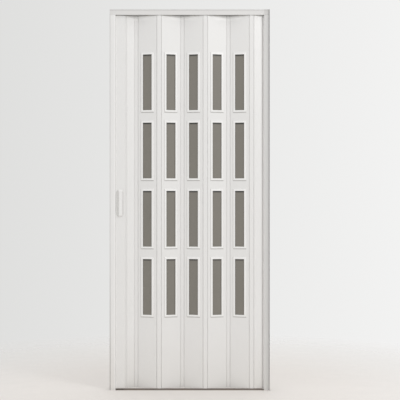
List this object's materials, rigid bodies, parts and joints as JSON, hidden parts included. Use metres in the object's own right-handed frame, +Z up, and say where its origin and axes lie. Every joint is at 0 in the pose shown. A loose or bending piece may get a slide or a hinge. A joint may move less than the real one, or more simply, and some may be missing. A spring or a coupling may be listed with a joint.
{
  "type": "accordion door",
  "caption": "Folding accordion door in a slim white surround, with glazed panels that hang from an overhead track",
  "frame": {"origin": "on the floor, midway between the jambs and under the middle of the track", "axes": "+X along the track towards the jamb that the door folds up against, +Y from the front to the back, +Z up"},
  "size_m": [0.853, 0.05, 2.03],
  "materials": {
    "white_pvc": "semi-gloss extruded PVC",
    "cap_plastic": "moulded, matt",
    "frosted_pane": "obscured grey sheet",
    "zinc_steel": "zinc plated",
    "magnet_rubber": "flexible magnet strip",
    "nylon": "moulded nylon"
  },
  "bodies": {
    "frame": {"track_rail": "white_pvc", "track_stops": "cap_plastic", "strike_jamb": "white_pvc", "hinge_jamb": "white_pvc", "strike_plate": "zinc_steel", "strike_screws": "zinc_steel"},
    "hinge_half_leaf": {"half_panel_hinge": "white_pvc", "half_panel_caps_hinge": "cap_plastic"},
    "strip_6": {"hinge_strip_6": "white_pvc"},
    "leaf_5": {"panel_5": "white_pvc", "window_frames_5": "white_pvc", "panes_5": "frosted_pane", "panel_caps_5": "cap_plastic"},
    "strip_5": {"hinge_strip_5": "white_pvc"},
    "leaf_4": {"panel_4": "white_pvc", "window_frames_4": "white_pvc", "panes_4": "frosted_pane", "panel_caps_4": "cap_plastic"},
    "strip_4": {"hinge_strip_4": "white_pvc"},
    "leaf_3": {"panel_3": "white_pvc", "window_frames_3": "white_pvc", "panes_3": "frosted_pane", "panel_caps_3": "cap_plastic"},
    "strip_3": {"hinge_strip_3": "white_pvc"},
    "leaf_2": {"panel_2": "white_pvc", "window_frames_2": "white_pvc", "panes_2": "frosted_pane", "panel_caps_2": "cap_plastic"},
    "strip_2": {"hinge_strip_2": "white_pvc"},
    "leaf_1": {"panel_1": "white_pvc", "window_frames_1": "white_pvc", "panes_1": "frosted_pane", "panel_caps_1": "cap_plastic"},
    "strip_1": {"hinge_strip_1": "white_pvc"},
    "lead_half_leaf": {"half_panel_lead": "white_pvc", "half_panel_caps_lead": "cap_plastic"},
    "lead": {"lead_post": "white_pvc", "post_end_caps": "cap_plastic", "magnet_strip": "magnet_rubber", "handle_front": "white_pvc", "handle_rear": "white_pvc", "handle_screws": "zinc_steel", "truck_lead": "nylon", "hanger_bolt_lead": "zinc_steel"},
    "truck_1_body": {"truck_1": "nylon", "hanger_bolt_1": "zinc_steel"},
    "truck_2_body": {"truck_2": "nylon", "hanger_bolt_2": "zinc_steel"},
    "truck_3_body": {"truck_3": "nylon", "hanger_bolt_3": "zinc_steel"},
    "truck_4_body": {"truck_4": "nylon", "hanger_bolt_4": "zinc_steel"},
    "truck_5_body": {"truck_5": "nylon", "hanger_bolt_5": "zinc_steel"},
    "wheels_lead": {"wheelset_lead": "nylon"},
    "wheels_1": {"wheelset_1": "nylon"},
    "wheels_2": {"wheelset_2": "nylon"},
    "wheels_3": {"wheelset_3": "nylon"},
    "wheels_4": {"wheelset_4": "nylon"},
    "wheels_5": {"wheelset_5": "nylon"}
  },
  "joints": [
    {"name": "jamb_hinge", "type": "hinge", "parent": "frame", "child": "hinge_half_leaf", "pos_m": [0.39151, 0, 0], "axis": [0, 0, 1], "range_deg": [0, 70]},
    {"name": "strip_6_hinge", "type": "hinge", "parent": "hinge_half_leaf", "child": "strip_6", "pos_m": [0.33777, -0.01541, 0], "axis": [0, 0, -1], "range_deg": [0, 70]},
    {"name": "leaf_5_hinge", "type": "hinge", "parent": "strip_6", "child": "leaf_5", "pos_m": [0.32177, -0.01541, 0], "axis": [0, 0, -1], "range_deg": [0, 70]},
    {"name": "strip_5_hinge", "type": "hinge", "parent": "leaf_5", "child": "strip_5", "pos_m": [0.2143, 0.01541, 0], "axis": [0, 0, 1], "range_deg": [0, 70]},
    {"name": "leaf_4_hinge", "type": "hinge", "parent": "strip_5", "child": "leaf_4", "pos_m": [0.1983, 0.01541, 0], "axis": [0, 0, 1], "range_deg": [0, 70]},
    {"name": "strip_4_hinge", "type": "hinge", "parent": "leaf_4", "child": "strip_4", "pos_m": [0.09083, -0.01541, 0], "axis": [0, 0, -1], "range_deg": [0, 70]},
    {"name": "leaf_3_hinge", "type": "hinge", "parent": "strip_4", "child": "leaf_3", "pos_m": [0.07483, -0.01541, 0], "axis": [0, 0, -1], "range_deg": [0, 70]},
    {"name": "strip_3_hinge", "type": "hinge", "parent": "leaf_3", "child": "strip_3", "pos_m": [-0.03263, 0.01541, 0], "axis": [0, 0, 1], "range_deg": [0, 70]},
    {"name": "leaf_2_hinge", "type": "hinge", "parent": "strip_3", "child": "leaf_2", "pos_m": [-0.04863, 0.01541, 0], "axis": [0, 0, 1], "range_deg": [0, 70]},
    {"name": "strip_2_hinge", "type": "hinge", "parent": "leaf_2", "child": "strip_2", "pos_m": [-0.1561, -0.01541, 0], "axis": [0, 0, -1], "range_deg": [0, 70]},
    {"name": "leaf_1_hinge", "type": "hinge", "parent": "strip_2", "child": "leaf_1", "pos_m": [-0.1721, -0.01541, 0], "axis": [0, 0, -1], "range_deg": [0, 70]},
    {"name": "strip_1_hinge", "type": "hinge", "parent": "leaf_1", "child": "strip_1", "pos_m": [-0.27957, 0.01541, 0], "axis": [0, 0, 1], "range_deg": [0, 70]},
    {"name": "lead_half_leaf_hinge", "type": "hinge", "parent": "strip_1", "child": "lead_half_leaf", "pos_m": [-0.29557, 0.01541, 0], "axis": [0, 0, 1], "range_deg": [0, 70]},
    {"name": "fold", "type": "hinge", "parent": "lead_half_leaf", "child": "lead", "pos_m": [-0.34931, 0, 0], "axis": [0, 0, -1], "range_deg": [0, 70]},
    {"name": "truck_1_swivel", "type": "hinge", "parent": "leaf_1", "child": "truck_1_body", "pos_m": [-0.22584, 0, 0], "axis": [0, 0, 1], "range_deg": [0, 70]},
    {"name": "truck_2_swivel", "type": "hinge", "parent": "leaf_2", "child": "truck_2_body", "pos_m": [-0.10237, 0, 0], "axis": [0, 0, -1], "range_deg": [0, 70]},
    {"name": "truck_3_swivel", "type": "hinge", "parent": "leaf_3", "child": "truck_3_body", "pos_m": [0.0211, 0, 0], "axis": [0, 0, 1], "range_deg": [0, 70]},
    {"name": "truck_4_swivel", "type": "hinge", "parent": "leaf_4", "child": "truck_4_body", "pos_m": [0.14457, 0, 0], "axis": [0, 0, -1], "range_deg": [0, 70]},
    {"name": "truck_5_swivel", "type": "hinge", "parent": "leaf_5", "child": "truck_5_body", "pos_m": [0.26804, 0, 0], "axis": [0, 0, 1], "range_deg": [0, 70]},
    {"name": "wheels_lead_spin", "type": "hinge", "parent": "lead", "child": "wheels_lead", "pos_m": [-0.37531, 0, 2.0173], "axis": [0, 1, 0], "continuous": true},
    {"name": "wheels_1_spin", "type": "hinge", "parent": "truck_1_body", "child": "wheels_1", "pos_m": [-0.22584, 0, 2.0173], "axis": [0, 1, 0], "continuous": true},
    {"name": "wheels_2_spin", "type": "hinge", "parent": "truck_2_body", "child": "wheels_2", "pos_m": [-0.10237, 0, 2.0173], "axis": [0, 1, 0], "continuous": true},
    {"name": "wheels_3_spin", "type": "hinge", "parent": "truck_3_body", "child": "wheels_3", "pos_m": [0.0211, 0, 2.0173], "axis": [0, 1, 0], "continuous": true},
    {"name": "wheels_4_spin", "type": "hinge", "parent": "truck_4_body", "child": "wheels_4", "pos_m": [0.14457, 0, 2.0173], "axis": [0, 1, 0], "continuous": true},
    {"name": "wheels_5_spin", "type": "hinge", "parent": "truck_5_body", "child": "wheels_5", "pos_m": [0.26804, 0, 2.0173], "axis": [0, 1, 0], "continuous": true}
  ],
  "couplings": [
    {"joint": "jamb_hinge", "follows": "fold", "ratio": 1},
    {"joint": "strip_6_hinge", "follows": "fold", "ratio": 1},
    {"joint": "leaf_5_hinge", "follows": "fold", "ratio": 1},
    {"joint": "strip_5_hinge", "follows": "fold", "ratio": 1},
    {"joint": "leaf_4_hinge", "follows": "fold", "ratio": 1},
    {"joint": "strip_4_hinge", "follows": "fold", "ratio": 1},
    {"joint": "leaf_3_hinge", "follows": "fold", "ratio": 1},
    {"joint": "strip_3_hinge", "follows": "fold", "ratio": 1},
    {"joint": "leaf_2_hinge", "follows": "fold", "ratio": 1},
    {"joint": "strip_2_hinge", "follows": "fold", "ratio": 1},
    {"joint": "leaf_1_hinge", "follows": "fold", "ratio": 1},
    {"joint": "strip_1_hinge", "follows": "fold", "ratio": 1},
    {"joint": "lead_half_leaf_hinge", "follows": "fold", "ratio": 1},
    {"joint": "truck_1_swivel", "follows": "fold", "ratio": 1},
    {"joint": "truck_2_swivel", "follows": "fold", "ratio": 1},
    {"joint": "truck_3_swivel", "follows": "fold", "ratio": 1},
    {"joint": "truck_4_swivel", "follows": "fold", "ratio": 1},
    {"joint": "truck_5_swivel", "follows": "fold", "ratio": 1}
  ]
}
